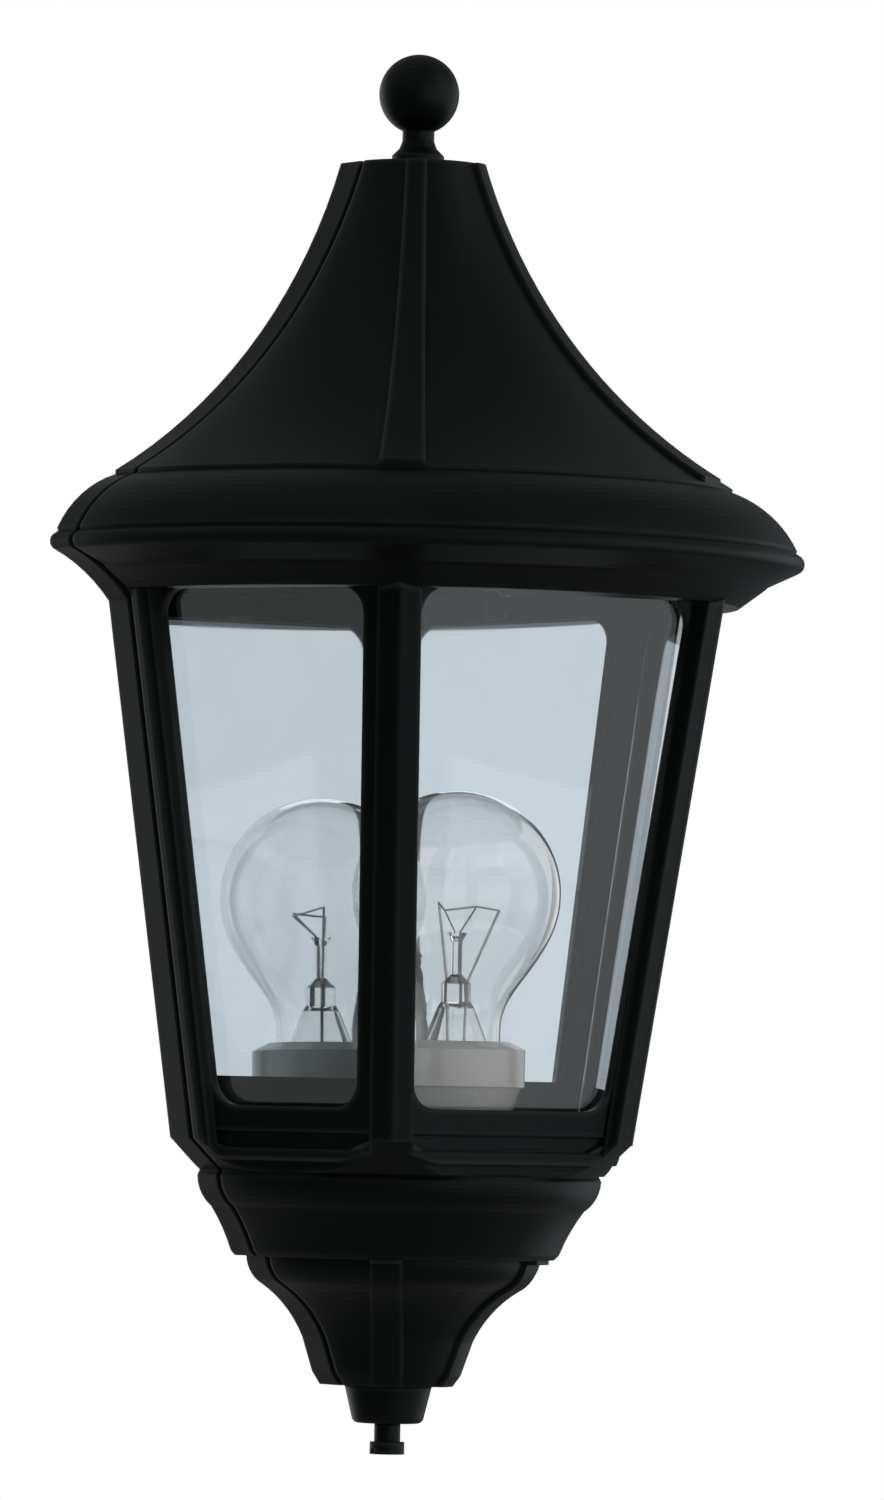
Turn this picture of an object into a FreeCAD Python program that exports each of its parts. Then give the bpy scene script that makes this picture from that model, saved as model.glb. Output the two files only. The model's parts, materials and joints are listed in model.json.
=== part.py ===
import FreeCAD, Part
import math
import os

# Half lantern for a wall. X runs along the wall, Y into it, Z up, in millimetres.
# The origin lies on the wall, half way between the two fixing holes.
os.makedirs("parts", exist_ok=True)
V = FreeCAD.Vector

# Wall plate
PLATE_DEPTH = 12.5
PLATE_WEB = 2.2
PLATE_RIM = 3.0
SEAM_GAP = 0.2
SPIGOT_DEPTH = 2.2
SPIGOT_INSET = 1.5
PLATE_COVE_DROP = 3.3
PLATE_COVE_SAG = 1.4
FIX_SPACING = 210.0
FIX_HOLE = 5.5
FIX_PAD = 16.0
FIX_PAD_RISE = 1.8
CABLE_HOLE = 14.0
CABLE_X = -36.0
CABLE_Z = -80.0
TONGUE_W = 14.0
TONGUE_T = 5.0
TONGUE_REACH = 7.0
SCREW_BITE = 1.3

# Roof with its eaves moulding, heights up from the lip
LIP_Z = 85.5
LIP_R = 97.0
COVE_W = 7.6
COVE_H = 5.7
DRIP = 1.0
UNDER_H = 4.2
NOSE_H = 4.6
NOSE_DEPTH = 1.5
RIM_R = 116.0
QUIRK = 0.8
OVOLO_W = 19.3
OVOLO_H = 17.7
OVOLO_RISE = 2.6
EAVES_STEP = 1.2
FLARE_H = 94.4
FLARE_SAG = 11.3
ROOF_TOP_R = 18.9
SHELL = 3.0
CUT_PAST = 5.0
RIB_RISE = 1.5
RIB_TOP_W = 6.0
RIB_FOOT_W = 13.2

# Cage of three flat faces, tapering down
POST_AZ = 34.8
POST_W = 12.5
POST_DEPTH = 5.5
POST_SETBACK = 0.5
CORNER_SETBACK = 1.0
SIDE_SETBACK = 0.7
RIDGE_W = 3.0
RIDGE_RISE = 2.2
RIDGE_ROUND = 0.5
STILE = 6.2
STILE_W = 3.2
STILE_STEP_W = 4.4
STILE_ROOT = 2.0
OPEN_RISE = 0.5
CAGE_H = 149.0
TAPER = 0.753
CAGE_WALL = 3.0
RAIL_H = 8.0
WINDOW_ROUND = 8.0
WINDOW_REACH = 12.0
FRONT_LAND = 7.5
SIDE_LAND = 12.0
REAR_LAND = 4.5
FOOT_DROP = 9.7
FOOT_WALL = 4.5
FOOT_END_R = 63.0
FOOT_END_DROP = 17.0
GROOVE_DROP = 7.4
GROOVE_H = 4.8
GROOVE_DEPTH = 1.2
SILL_H = 3.6
SILL_RISE = 2.2
SILL_LIP = 0.5
BASE_DROP = 19.0

# Round base below the cage
BASE_SETBACK = 2.7
SKIRT_R = 61.4
SKIRT_QUIRK = 0.8
SKIRT_QUIRK_H = 1.6
SKIRT_MID_W = 4.9
SKIRT_MID_H = 10.5
SKIRT_RISE = 1.2
SKIRT_SAG = 0.5
SKIRT_FOOT_R = 49.4
SKIRT_ROUND = 1.4
SKIRT_H = 24.8
CUP_R = 44.0
CUP_SHOULDER_W = 5.4
CUP_SHOULDER_H = 8.2
CUP_SHOULDER_RISE = 1.3
CUP_WAIST_R = 24.0
CUP_WAIST_H = 23.8
CUP_SAG = 1.6
CUP_FOOT_R = 20.4
CUP_H = 37.6
CUP_CHAMFER_W = 2.8
CUP_CHAMFER_H = 3.8
CUP_RIB_W = 9.4
CUP_RIB_RISE = 1.2

# Flat panes and their clips
PANE_T = 2.0
PANE_SEAT = 0.05
PANE_LAP = 4.0
PANE_CORNER = 4.0
PANE_REAR = 2.0
CLIP_W = 9.0
CLIP_T = 1.5
CLIP_H = 3.4
CLIP_ROOM = 1.0
CLIP_GAP = 0.2
TAB_W = 14.0
TAB_OUT = 6.0
TAB_EDGE = 5.0
TAB_BITE = 2.1

# Turned pieces on the seam line
STUD_D = 6.0
THREAD_GAP = 0.05
NOTCH_GAP = 0.6
STUD_END = 2.0
BALL_D = 23.6
BALL_RISE = 20.7
NECK_D = 9.4
FINIAL_FOOT_D = 15.4
FINIAL_FOOT_H = 2.2
TURN_GAP = 0.3
FERRULE_TOP_D = 25.6
FERRULE_FOOT_D = 20.4
FERRULE_H = 10.8
FERRULE_ROUND = 2.0
WALL_GAP = 0.3
COLLAR_D = 7.7
COLLAR_H = 5.2
HEAD_D = 10.2
HEAD_H = 3.6
SLOT_W = 1.4
SLOT_DEPTH = 1.6

# Reflector
MIRROR_T = 0.8
MIRROR_TOP_W = 165.6
MIRROR_FOOT_W = 128.4
MIRROR_TOP_Z = 96.5
MIRROR_FOOT_Z = -54.5
MIRROR_SCREW_X = 40.0
MIRROR_SCREW_DROP = 4.0
MIRROR_TILT = 1.05
MIRROR_PAD = 9.0
MIRROR_PAD_RISE = 7.0

# Lamp and holder, with heights down from the centre of the bulb
LAMP_Y = -41.0
BULB_D = 60.0
BULB_WALL = 0.8
BULB_TURN = 28.0
BULB_SHOULDER = 14.0
NECK_Z = -40.0
NECK_RISE = 9.8
BULB_NECK_D = 26.4
CAP_TOP_Z = -46.5
CAP_D = 26.2
CAP_H = 23.0
CAP_PITCH = 3.6
CAP_DEPTH = 0.8
CAP_RIM = 3.0
CAP_FOOT_IN = 2.0
CAP_LAP = 0.4
INSULATOR_H = 4.0
BUTTON_D = 9.4
BUTTON_H = 1.2
BUTTON_ROUND = 1.4
HOLDER_TOP_Z = -43.0
HOLDER_D = 41.0
HOLDER_RING_H = 13.2
HOLDER_SHOULDER_W = 4.8
HOLDER_SHOULDER_H = 2.4
HOLDER_STEP = 0.9
HOLDER_CONE_H = 9.6
HOLDER_FOOT_D = 32.0
HOLDER_H = 43.0
HOLDER_FLOOR = 7.0
SHELL_T = 0.5
SHELL_GAP = 0.35
SHELL_DROP = 3.0
SHELL_PAST = 1.0
CONTACT_T = 0.8
CONTACT_W = 6.0
CONTACT_L = 24.0
CONTACT_PIN = 5.0
BRACKET_W = 32.0
BRACKET_T = 2.0
BRACKET_LEG = 22.0
BRACKET_SCREW_X = 9.0
BRACKET_SCREW_RISE = 13.0
HOLDER_SCREW_X = 9.0
HOLDER_BITE = 5.0
STEM_BUTTON_Z = -11.5
STEM_BUTTON_R = 3.0
STEM_BUTTON_H = 2.4
STEM_R = 1.6
STEM_PINCH_Z = -23.5
STEM_PINCH_R = 4.3
STEM_PINCH_H = 8.0
STEM_TUBE_R = 5.6
STEM_WALL = 0.8
STEM_FLARE = 3.0
WIRE_A_R = 6.5
WIRE_A_AZ = 115.0
WIRE_A_Z = -2.8
WIRE_B_R = 12.7
WIRE_B_AZ = 308.0
WIRE_B_Z = -4.9
WIRE_KNEE_R = 3.2
WIRE_KNEE_DROP = 2.5
WIRE_FOOT_R = 2.6
WIRE_FOOT_GAP = 0.1
LEAD_WIRE_D = 0.8
SUPPORT_A_R = 8.3
SUPPORT_A_AZ = 210.0
SUPPORT_A_Z = -5.2
SUPPORT_B_R = 12.7
SUPPORT_B_AZ = 262.0
SUPPORT_B_Z = -4.0
SUPPORT_D = 0.5
FILAMENT_D = 0.6

# Terminal block and its leads
BLOCK_X = 24.0
BLOCK_L = 26.0
BLOCK_H = 14.0
BLOCK_DEPTH = 12.0
BLOCK_Z = -78.5
BLOCK_BORE = 3.0
BLOCK_BORE_Y = 7.2
CLAMP_IN = 6.5
CLAMP_SUNK = 1.0
BLOCK_PITCH = 5.5
LEAD_D = 2.2
LEAD_BEND = 6.0
LEAD_X = 5.0
LEAD_SEAT = 1.0
LEAD_END = 11.7
EARTH_X = -26.0
EARTH_DROP = 16.0
SCREW_D = 3.5
SCREW_HEAD_D = 6.4
SCREW_HEAD_TOP_D = 4.8
SCREW_HEAD_H = 2.2
SCREW_GAP = 0.2
GROMMET_LIP = 2.0
GROMMET_RISE = 1.6
CABLE_D = 8.0

# Derived levels of the outline
COVE_Z = LIP_Z + COVE_H
UNDER_Z = COVE_Z + DRIP
NOSE_Z = UNDER_Z + UNDER_H
QUIRK_Z = NOSE_Z + NOSE_H
EAVES_FOOT_Z = QUIRK_Z + 2 * QUIRK
EAVES_Z = EAVES_FOOT_Z + OVOLO_H
ROOF_TOP_Z = EAVES_Z + FLARE_H
NOSE_R = RIM_R - NOSE_DEPTH
EAVES_R = NOSE_R - QUIRK - OVOLO_W
OPEN_TOP = LIP_Z + OPEN_RISE
OPEN_BOT = OPEN_TOP - CAGE_H
CAGE_TOP_Z = OPEN_TOP + RAIL_H
FOOT_Z = OPEN_BOT - FOOT_DROP
FOOT_END_Z = OPEN_BOT - FOOT_END_DROP
GROOVE_Z = OPEN_BOT - GROOVE_DROP
SILL_Z = GROOVE_Z - GROOVE_H
SILL_FOOT_Z = SILL_Z - SILL_H
BASE_Z = OPEN_BOT - BASE_DROP
SKIRT_Z = BASE_Z - SKIRT_H
BOTTOM_Z = SKIRT_Z - CUP_H
POST_R = LIP_R - POST_SETBACK
CORNER_R = POST_R - CORNER_SETBACK
SIDE_R = LIP_R - SIDE_SETBACK
FRONT_Y = -(PLATE_DEPTH + SEAM_GAP)
AXIS_Y = -PLATE_DEPTH
BASE_Y = AXIS_Y + BASE_SETBACK
MIRROR_SLOPE = math.tan(math.radians(MIRROR_TILT))
MIRROR_SCREW_Z = MIRROR_TOP_Z - MIRROR_SCREW_DROP
MIRROR_PAD_Z = MIRROR_FOOT_Z + MIRROR_PAD_RISE
MIRROR_PAD_Y = -PLATE_WEB - (MIRROR_TOP_Z - MIRROR_PAD_Z - MIRROR_PAD / 2) * MIRROR_SLOPE
HOLDER_FOOT_Z = HOLDER_TOP_Z - HOLDER_H
SHELF_Z = HOLDER_FOOT_Z - BRACKET_T
CAP_FOOT_Z = CAP_TOP_Z - CAP_H
BUTTON_Z = CAP_FOOT_Z - INSULATOR_H - BUTTON_H
WIRE_TIPS = ((WIRE_A_R, WIRE_A_AZ, WIRE_A_Z), (WIRE_B_R, WIRE_B_AZ, WIRE_B_Z))
SUPPORT_TIPS = ((SUPPORT_A_R, SUPPORT_A_AZ, SUPPORT_A_Z), (SUPPORT_B_R, SUPPORT_B_AZ, SUPPORT_B_Z))
EARTH_Z = BASE_Z - EARTH_DROP
BIG = 4 * RIM_R


def scale(z):
    """Size of the tapering cage at height z, as a share of its size at the window tops."""
    return 1.0 - (OPEN_TOP - z) / CAGE_H * (1.0 - TAPER)


def line(p, q):
    return Part.LineSegment(V(p[0], 0, p[1]), V(q[0], 0, q[1])).toShape()


def arc(p, m, q):
    return Part.Arc(V(p[0], 0, p[1]), V(m[0], 0, m[1]), V(q[0], 0, q[1])).toShape()


def sagged(p, q, sag):
    """Point beside the middle of a chord, to the right of its direction when sag is positive."""
    dx, dz = q[0] - p[0], q[1] - p[1]
    size = math.hypot(dx, dz)
    return ((p[0] + q[0]) / 2 + dz / size * sag, (p[1] + q[1]) / 2 - dx / size * sag)


def both_sides(segments):
    """Closed symmetric wire from the right half, which starts and ends on the centre line."""
    edges = []
    for seg in segments:
        for side in (1, -1):
            pts = [(side * x, z) for x, z in seg]
            edges.append(line(*pts) if len(pts) == 2 else arc(*pts))
    return Part.Wire(Part.__sortEdges__(edges))


def roof_half():
    """Right half of the roof outline, from the top down to the foot of the nose."""
    top, eaves = (ROOF_TOP_R, ROOF_TOP_Z), (EAVES_R, EAVES_Z)
    crease, foot = (EAVES_R, EAVES_Z - EAVES_STEP), (EAVES_R + OVOLO_W, EAVES_FOOT_Z)
    quirk = (foot[0] - QUIRK / 2, foot[1] - QUIRK)
    nose_top, nose_foot = (NOSE_R, QUIRK_Z), (NOSE_R, NOSE_Z)
    return [
        [(0, ROOF_TOP_Z), top],
        [top, sagged(top, eaves, FLARE_SAG), eaves],
        [eaves, crease],
        [crease, sagged(crease, foot, -OVOLO_RISE), foot],
        [foot, quirk],
        [quirk, nose_top],
        [nose_top, (RIM_R, (QUIRK_Z + NOSE_Z) / 2), nose_foot],
    ]


def soffit_half():
    """Right half of the underside of the eaves, from the nose in to the lip."""
    nose_foot, drip = (NOSE_R, NOSE_Z), (LIP_R + COVE_W, COVE_Z)
    step = (drip[0] + DRIP, UNDER_Z)
    return [[nose_foot, step], [step, drip], [drip, (LIP_R, LIP_Z)]]


def base_half():
    """Right half of the base outline, from its top down to the centre of the cup's foot."""
    neck, top = (SKIRT_R - SKIRT_QUIRK, BASE_Z), (SKIRT_R, BASE_Z - SKIRT_QUIRK_H)
    mid = (SKIRT_R - SKIRT_MID_W, BASE_Z - SKIRT_MID_H)
    skirt = (SKIRT_FOOT_R, SKIRT_Z + SKIRT_ROUND)
    edge = (skirt[0] - SKIRT_ROUND, SKIRT_Z)
    cup, shoulder = (CUP_R, SKIRT_Z), (CUP_R - CUP_SHOULDER_W, SKIRT_Z - CUP_SHOULDER_H)
    waist = (CUP_WAIST_R, SKIRT_Z - CUP_WAIST_H)
    foot = (CUP_FOOT_R, BOTTOM_Z + CUP_CHAMFER_H)
    tip = (CUP_FOOT_R - CUP_CHAMFER_W, BOTTOM_Z)
    return [
        [neck, top],
        [top, sagged(top, mid, -SKIRT_RISE), mid],
        [mid, sagged(mid, skirt, SKIRT_SAG), skirt],
        [skirt, edge],
        [edge, cup],
        [cup, sagged(cup, shoulder, -CUP_SHOULDER_RISE), shoulder],
        [shoulder, sagged(shoulder, waist, CUP_SAG), waist],
        [waist, foot],
        [foot, tip],
        [tip, (0, BOTTOM_Z)],
    ]


def spun(wire, angle=180):
    """Solid of revolution, towards the viewer, of the right half of a symmetric wire."""
    keep = Part.makeBox(BIG, 2, 4 * BIG, V(0, -1, -2 * BIG))
    half = Part.Face(wire).common(keep).Faces[0]
    return half.revolve(V(0, 0, 0), V(0, 0, -1), angle)


def inset(wire, distance):
    return wire.makeOffset2D(-distance, join=0)


def turned(points, x=0.0, y=0.0):
    """Full turned solid about a vertical axis from a closed list of radius and height."""
    pts = [V(r, 0, z) for r, z in points]
    face = Part.Face(Part.makePolygon(pts + [pts[0]]))
    return face.revolve(V(0, 0, 0), V(0, 0, 1), 360).translated(V(x, y, 0))


def rod(p, q, d):
    p, q = V(*p), V(*q)
    return Part.makeCylinder(d / 2, (q - p).Length, p, q - p)


def box(x0, x1, y0, y1, z0, z1):
    return Part.makeBox(x1 - x0, y1 - y0, z1 - z0, V(x0, y0, z0))


def pan_screw(seat, direction, length):
    """Screw with a tapered head on its seat and its shank running along the direction."""
    d = V(*direction)
    seat = V(*seat)
    head = Part.makeCone(SCREW_HEAD_D / 2, SCREW_HEAD_TOP_D / 2, SCREW_HEAD_H, seat, d * -1)
    return head.fuse(Part.makeCylinder(SCREW_D / 2, length, seat, d)).removeSplitter()


def export(shape, name):
    shape.exportStep("parts/" + name + ".step")
    print(name, "solids", len(shape.Solids), "valid", shape.isValid(), "volume", round(shape.Volume))


# The section of the cage at one height, as half width at the seam, front half width, depth
def section(z, wall):
    s = scale(z)
    corner = math.radians(POST_AZ)
    w, f = (LIP_R - STILE) * s, CORNER_R * math.sin(corner) * s
    d = CORNER_R * math.cos(corner) * s
    slope = (w - f) / d
    w = w - wall * math.hypot(1.0, slope)
    return w, w - slope * (d - wall), d - wall, slope


def section_wire(z, wall, back):
    w, f, d, slope = section(z, wall)
    pts = [V(-w - slope * back, back, z), V(-f, -d, z), V(f, -d, z), V(w + slope * back, back, z)]
    return Part.makePolygon(pts + [pts[0]])


def frustum(z0, z1, wall, back=0.0, wall_top=None):
    top = wall if wall_top is None else wall_top
    return Part.makeLoft([section_wire(z0, wall, back), section_wire(z1, top, back)], True, True)


def window(face, z0, z1, edge_a, edge_b, fillet):
    """Prism through one face; edges are distances in from its rear and its front corner."""
    rows = []
    for z in (z0, z1):
        w, f, d, slope = section(z, 0.0)
        rear, corner = V(w, 0, z), V(f, -d, z)
        if face == "front":
            rows.append([V(-f + edge_a, -d, z), V(f - edge_b, -d, z)])
            normal = V(0, -1, 0)
        else:
            along = (corner - rear).normalize()
            rows.append([rear + along * edge_a, corner - along * edge_b])
            normal = V(1, -slope, 0).normalize()
    pts = [rows[0][0], rows[0][1], rows[1][1], rows[1][0]]
    quad = Part.Face(Part.makePolygon(pts + [pts[0]])).translated(normal * -WINDOW_REACH)
    prism = quad.extrude(normal * (2 * WINDOW_REACH))
    if fillet > 0:
        def across(e):
            return abs((e.Vertexes[1].Point - e.Vertexes[0].Point).normalize().dot(normal)) > 0.999
        prism = prism.makeFillet(fillet, [e for e in prism.Edges if across(e)])
    if face == "left":
        prism = prism.mirror(V(0, 0, 0), V(1, 0, 0))
    return prism


def wedge(width_in, r_in, width_out, r_out, z0, z1, azimuth):
    """Upright prism that widens outwards, at an azimuth from straight ahead."""
    def half(r):
        return (width_in + (width_out - width_in) * (r - r_in) / (r_out - r_in)) / 2
    pts = [V(-half(r_in), -r_in, z0), V(-half(r_out), -r_out, z0),
           V(half(r_out), -r_out, z0), V(half(r_in), -r_in, z0)]
    prism = Part.Face(Part.makePolygon(pts + [pts[0]])).extrude(V(0, 0, z1 - z0))
    prism.rotate(V(0, 0, 0), V(0, 0, 1), azimuth)
    return prism


def strip(width, r_in, r_out, z0, z1, azimuth):
    """Straight bar along a tapering corner, of constant width, between two radii at the lip."""
    wires = []
    for z in (z0, z1):
        out, back = r_out * scale(z), r_in * scale(z)
        pts = [V(-width / 2, -out, z), V(width / 2, -out, z),
               V(width / 2, -back, z), V(-width / 2, -back, z)]
        wires.append(Part.makePolygon(pts + [pts[0]]))
    bar = Part.makeLoft(wires, True, True)
    bar.rotate(V(0, 0, 0), V(0, 0, 1), azimuth)
    return bar


def post(z0, z1, azimuth):
    """Tapering corner post whose two flanks rise to a rounded ridge."""
    wires = []
    for z in (z0, z1):
        out, back = POST_R * scale(z), (POST_R - POST_DEPTH) * scale(z)
        ridge = out + RIDGE_RISE
        foot_a, foot_b = V(-POST_W / 2, -out, z), V(POST_W / 2, -out, z)
        side_a, side_b = [V(x, -ridge + RIDGE_ROUND, z) for x in (-RIDGE_W / 2, RIDGE_W / 2)]
        rear_a, rear_b = V(-POST_W / 2, -back, z), V(POST_W / 2, -back, z)
        edges = [Part.LineSegment(foot_a, side_a).toShape(),
                 Part.Arc(side_a, V(0, -ridge, z), side_b).toShape(),
                 Part.LineSegment(side_b, foot_b).toShape(),
                 Part.LineSegment(foot_b, rear_b).toShape(),
                 Part.LineSegment(rear_b, rear_a).toShape(),
                 Part.LineSegment(rear_a, foot_a).toShape()]
        wires.append(Part.Wire(edges))
    bar = Part.makeLoft(wires, True, True)
    bar.rotate(V(0, 0, 0), V(0, 0, 1), azimuth)
    return bar


# Outlines shared by the plate and the front
foot = (SIDE_R * scale(FOOT_Z), FOOT_Z)
plate_lip = (SIDE_R * scale(LIP_Z - PLATE_COVE_DROP), LIP_Z - PLATE_COVE_DROP)
nose_foot, foot_end = (NOSE_R, NOSE_Z), (FOOT_END_R, FOOT_END_Z)
roof_wire = both_sides(roof_half() + soffit_half() + [[(LIP_R, LIP_Z), (0, LIP_Z)]])
base_wire = both_sides([[(0, BASE_Z), base_half()[0][0]]] + base_half())
plate_half = roof_half() + [[nose_foot, sagged(nose_foot, plate_lip, PLATE_COVE_SAG), plate_lip]]
base_top = (SKIRT_R - SKIRT_QUIRK, BASE_Z)
plate_half += [[plate_lip, foot], [foot, foot_end], [foot_end, base_top]]
plate_wire = both_sides(plate_half + base_half())
notch_r = STUD_D / 2 + NOTCH_GAP
notch = Part.makeCylinder(notch_r, BIG, V(0, AXIS_Y, 0))
notch = notch.fuse(Part.makeCylinder(notch_r, BIG, V(0, BASE_Y, -BIG)))

# Wall plate: a shallow tray with the full outline of the lantern
tray = Part.Face(plate_wire).extrude(V(0, -(PLATE_DEPTH - SPIGOT_DEPTH), 0))
spigot = Part.Face(inset(plate_wire, SPIGOT_INSET)).extrude(V(0, -PLATE_DEPTH, 0))
pocket = Part.Face(inset(plate_wire, PLATE_RIM)).extrude(V(0, -PLATE_DEPTH, 0))
tray = tray.fuse(spigot).cut(pocket.translated(V(0, -PLATE_WEB, 0)))
for z in (FIX_SPACING / 2, -FIX_SPACING / 2):
    pad = Part.makeCylinder(FIX_PAD / 2, PLATE_WEB + FIX_PAD_RISE, V(0, 0, z), V(0, -1, 0))
    tray = tray.fuse(pad)
    tray = tray.cut(Part.makeCylinder(FIX_HOLE / 2, PLATE_DEPTH, V(0, 1, z), V(0, -1, 0)))
tray = tray.cut(notch)
tongue_y = -(PLATE_DEPTH + TONGUE_REACH)
tongue_top = ROOF_TOP_Z - SHELL - TURN_GAP
tongue_foot = BOTTOM_Z + SHELL + TURN_GAP
for z0 in (tongue_top - TONGUE_T, tongue_foot):
    tray = tray.fuse(box(-TONGUE_W / 2, TONGUE_W / 2, tongue_y, -PLATE_WEB / 2, z0, z0 + TONGUE_T))
tapped = STUD_D / 2 + THREAD_GAP
for z0, y in ((tongue_top - TONGUE_T, AXIS_Y), (tongue_foot, BASE_Y)):
    tray = tray.cut(Part.makeCylinder(tapped, TONGUE_T + 2, V(0, y, z0 - 1)))
tray = tray.cut(Part.makeCylinder(CABLE_HOLE / 2, PLATE_DEPTH, V(CABLE_X, 1, CABLE_Z), V(0, -1, 0)))
for x in (-MIRROR_SCREW_X, MIRROR_SCREW_X):
    tray = tray.fuse(rod((x, -PLATE_WEB / 2, MIRROR_PAD_Z), (x, MIRROR_PAD_Y, MIRROR_PAD_Z), MIRROR_PAD))
bracket_screw_z = SHELF_Z + BRACKET_SCREW_RISE
plate_screws = [(x, -PLATE_WEB, MIRROR_SCREW_Z) for x in (-MIRROR_SCREW_X, MIRROR_SCREW_X)]
plate_screws += [(x, -PLATE_WEB, bracket_screw_z) for x in (-BRACKET_SCREW_X, BRACKET_SCREW_X)]
plate_screws += [(EARTH_X, -PLATE_WEB, EARTH_Z)]
for x, y, z in plate_screws:
    tray = tray.cut(rod((x, y, z), (x, y + SCREW_BITE, z), SCREW_D))
export(tray.removeSplitter(), "wall_plate")

# Reflector sheet, its top on the plate and its foot on two pads, and its screws
pts = [V(-MIRROR_FOOT_W / 2, 0, MIRROR_FOOT_Z), V(MIRROR_FOOT_W / 2, 0, MIRROR_FOOT_Z),
       V(MIRROR_TOP_W / 2, 0, MIRROR_TOP_Z), V(-MIRROR_TOP_W / 2, 0, MIRROR_TOP_Z)]
mirror = Part.Face(Part.makePolygon(pts + [pts[0]])).extrude(V(0, -MIRROR_T, 0))
mirror.translate(V(0, -PLATE_WEB, 0))
mirror.rotate(V(0, -PLATE_WEB, MIRROR_TOP_Z), V(1, 0, 0), -MIRROR_TILT)
face_y = -PLATE_WEB - MIRROR_T / math.cos(math.radians(MIRROR_TILT))
head_y = face_y - (MIRROR_TOP_Z - MIRROR_SCREW_Z + SCREW_HEAD_D / 2) * MIRROR_SLOPE
screws = []
for x, y, z in plate_screws[:2]:
    mirror = mirror.cut(rod((x, 0, z), (x, -PLATE_DEPTH, z), SCREW_D + SCREW_GAP))
    screws.append(pan_screw((x, head_y, z), (0, 1, 0), y - head_y + SCREW_BITE))
export(mirror, "mirror_reflector")
export(Part.makeCompound(screws), "mirror_screws")

# Roof hood
roof = spun(roof_wire).cut(spun(inset(roof_wire, SHELL)))
rib_skin = spun(roof_wire.makeOffset2D(RIB_RISE, join=0)).cut(spun(inset(roof_wire, SHELL / 2)))
for az in (-POST_AZ, POST_AZ):
    cutter = wedge(RIB_TOP_W, ROOF_TOP_R, RIB_FOOT_W, EAVES_R, EAVES_Z, ROOF_TOP_Z, az)
    inner = wedge(RIB_TOP_W, 2.0, RIB_TOP_W, ROOF_TOP_R, EAVES_Z, ROOF_TOP_Z, az)
    roof = roof.fuse(rib_skin.common(cutter.fuse(inner)))
roof = roof.cut(frustum(LIP_Z - 1, LIP_Z + SHELL + 1, -PANE_SEAT, CUT_PAST))
roof.translate(V(0, FRONT_Y, 0))
tabs = []
for az, face in ((0, "front"), (1, "right"), (-1, "left")):
    w, f, d, slope = section(OPEN_TOP, 0.0)
    mid, normal = (V(0, -d, 0), V(0, -1, 0))
    if az:
        mid, normal = V(az * (w + f) / 2, -d / 2, 0), V(az, -slope, 0).normalize()
    tabs.append((mid + V(0, FRONT_Y, 0), normal))
tab_z = LIP_Z + SHELL
roof_screws = []
for mid, normal in tabs:
    at = mid + normal * TAB_OUT
    roof = roof.cut(rod((at.x, at.y, tab_z + 1), (at.x, at.y, tab_z - TAB_BITE), SCREW_D))
    seat = (at.x, at.y, tab_z + CLIP_T)
    roof_screws.append(pan_screw(seat, (0, 0, -1), CLIP_T + TAB_BITE))
roof = roof.cut(notch).removeSplitter()
export(roof, "roof_hood")
export(Part.makeCompound(roof_screws), "roof_screws")

# Cage with posts, rails and the round base, cast in one piece
front_room = box(-BIG, BIG, -BIG, 0, -BIG, BIG)
cage = frustum(BASE_Z, CAGE_TOP_Z, 0.0).cut(frustum(BASE_Z - 1, CAGE_TOP_Z + 1, CAGE_WALL, CUT_PAST))
groove = frustum(SILL_Z, GROOVE_Z, -SHELL, CUT_PAST)
groove = groove.cut(frustum(SILL_Z - 1, GROOVE_Z + 1, GROOVE_DEPTH, CUT_PAST))
cage = cage.cut(groove)
sill = frustum(SILL_FOOT_Z, SILL_Z, -SILL_RISE, 0.0, -SILL_LIP)
sill = sill.cut(frustum(SILL_FOOT_Z - 1, SILL_Z + 1, CAGE_WALL / 2, CUT_PAST))
cage = cage.fuse(sill.common(front_room))
roof_room = spun(roof_wire.makeOffset2D(PANE_SEAT, join=0))
for az in (-POST_AZ, POST_AZ):
    cage = cage.fuse(post(BASE_Z, COVE_Z, az).cut(roof_room))
for side in (-1, 1):
    for width, out in ((STILE_W, SIDE_R), (STILE_STEP_W, SIDE_R - STILE / 2)):
        bar = strip(2 * width, LIP_R - STILE - STILE_ROOT, out, BASE_Z, LIP_Z, 90 * side)
        cage = cage.fuse(bar.common(front_room))
cage = cage.cut(window("front", OPEN_BOT, OPEN_TOP, FRONT_LAND, FRONT_LAND, WINDOW_ROUND))
for face in ("left", "right"):
    cage = cage.cut(window(face, OPEN_BOT, OPEN_TOP, REAR_LAND, SIDE_LAND, WINDOW_ROUND))
foot_line = [foot, foot_end, base_top]
cage = cage.cut(turned(foot_line + [(base_top[0], BASE_Z - 1), (BIG, BASE_Z - 1), (BIG, FOOT_Z)]))
foot_wall = turned(foot_line + [(r - FOOT_WALL, z) for r, z in reversed(foot_line)])
cage = cage.fuse(foot_wall.common(frustum(BASE_Z, FOOT_Z, 0.0)))
base = spun(base_wire).cut(spun(inset(base_wire, SHELL)))
base = base.cut(Part.makeCylinder(base_top[0] - FOOT_WALL, 3 * SHELL, V(0, 0, BASE_Z - 2 * SHELL)))
cup_skin = spun(base_wire.makeOffset2D(CUP_RIB_RISE, join=0)).cut(spun(inset(base_wire, SHELL / 2)))
for az in (-POST_AZ, POST_AZ):
    cutter = wedge(CUP_RIB_W, 2.0, CUP_RIB_W, CUP_R + 4, BOTTOM_Z, SKIRT_Z, az)
    base = base.fuse(cup_skin.common(cutter))
base.translate(V(0, BASE_Y - FRONT_Y, 0))
cage = cage.fuse(base.common(front_room))
cage.translate(V(0, FRONT_Y, 0))
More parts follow.
